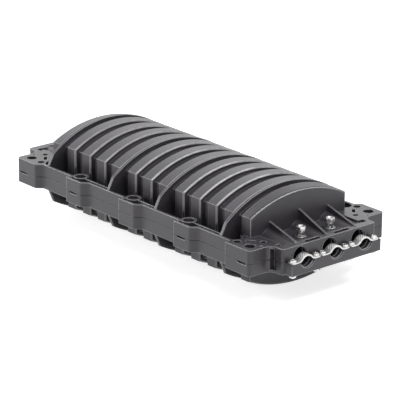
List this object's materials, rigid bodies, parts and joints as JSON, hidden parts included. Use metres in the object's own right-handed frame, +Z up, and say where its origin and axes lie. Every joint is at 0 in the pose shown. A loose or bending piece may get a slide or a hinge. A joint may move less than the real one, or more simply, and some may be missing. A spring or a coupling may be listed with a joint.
{
  "type": "horizontal fibre splice closure",
  "caption": "Long black splice closure of two ribbed half shells bolted together, with corner lugs, cable ports with clamp straps at both ends and hinged splice trays inside.",
  "frame": {"origin": "centre of the closure on the plane it rests on", "axes": "+X along the closure from one set of cable ports to the other, +Z up, +Y across"},
  "size_m": [0.47, 0.199, 0.1083],
  "materials": {
    "shell_plastic": "moulded satin black",
    "seal_rubber": "soft black rubber",
    "zinc_steel": "zinc plated",
    "strap_steel": "pressed stainless sheet",
    "pin_steel": "drawn wire",
    "bracket_steel": "folded galvanised sheet",
    "insert_brass": "turned",
    "post_brass": "turned",
    "hinge_plastic": "satin black",
    "tray_plastic": "satin pale grey",
    "holder_plastic": "satin white",
    "lid_clear": "clear"
  },
  "bodies": {
    "base": {"base_shell": "shell_plastic", "perimeter_gasket": "seal_rubber", "saddle_screws": "zinc_steel", "saddle_nuts": "zinc_steel", "bolt_inserts": "insert_brass", "tray_bracket": "bracket_steel", "bracket_screws": "zinc_steel", "clamp_posts": "post_brass", "clamp_washers": "zinc_steel", "clamp_screws": "zinc_steel", "tray_hinge_block": "hinge_plastic", "cable_saddle_1": "strap_steel", "cable_saddle_2": "strap_steel", "cable_saddle_3": "strap_steel", "cable_saddle_4": "strap_steel", "cable_saddle_5": "strap_steel", "cable_saddle_6": "strap_steel", "tray_pin_1": "pin_steel", "tray_pin_2": "pin_steel", "tray_pin_3": "pin_steel", "tray_pin_4": "pin_steel"},
    "cover": {"cover_shell": "shell_plastic", "cover_port_gaskets": "seal_rubber", "end_bolts": "zinc_steel", "end_bolt_flat_washers": "zinc_steel", "end_bolt_spring_washers": "zinc_steel", "side_bolts": "zinc_steel", "side_bolt_washers": "zinc_steel"},
    "tray_1": {"splice_tray_1": "tray_plastic", "sleeve_holder_1": "holder_plastic"},
    "tray_2": {"splice_tray_2": "tray_plastic", "sleeve_holder_2": "holder_plastic"},
    "tray_3": {"splice_tray_3": "tray_plastic", "sleeve_holder_3": "holder_plastic"},
    "tray_4": {"splice_tray_4": "tray_plastic", "sleeve_holder_4": "holder_plastic", "tray_lid": "lid_clear"}
  },
  "joints": [
    {"name": "cover_lift", "type": "slide", "parent": "base", "child": "cover", "axis": [0, 0, 1], "range_m": [0, 0.3]},
    {"name": "tray_1_hinge", "type": "hinge", "parent": "base", "child": "tray_1", "pos_m": [-0.095, 0, 0.0339], "axis": [0, -1, 0], "range_deg": [0, 85]},
    {"name": "tray_2_hinge", "type": "hinge", "parent": "base", "child": "tray_2", "pos_m": [-0.105, 0, 0.0439], "axis": [0, -1, 0], "range_deg": [0, 85]},
    {"name": "tray_3_hinge", "type": "hinge", "parent": "base", "child": "tray_3", "pos_m": [-0.115, 0, 0.0539], "axis": [0, -1, 0], "range_deg": [0, 85]},
    {"name": "tray_4_hinge", "type": "hinge", "parent": "base", "child": "tray_4", "pos_m": [-0.125, 0, 0.0639], "axis": [0, -1, 0], "range_deg": [0, 85]}
  ],
  "couplings": [
    {"joint": "tray_1_hinge", "follows": "cover_lift", "rad_per_m": 4.93},
    {"joint": "tray_2_hinge", "follows": "cover_lift", "rad_per_m": 4.93},
    {"joint": "tray_3_hinge", "follows": "cover_lift", "rad_per_m": 4.93},
    {"joint": "tray_4_hinge", "follows": "cover_lift", "rad_per_m": 4.93}
  ]
}
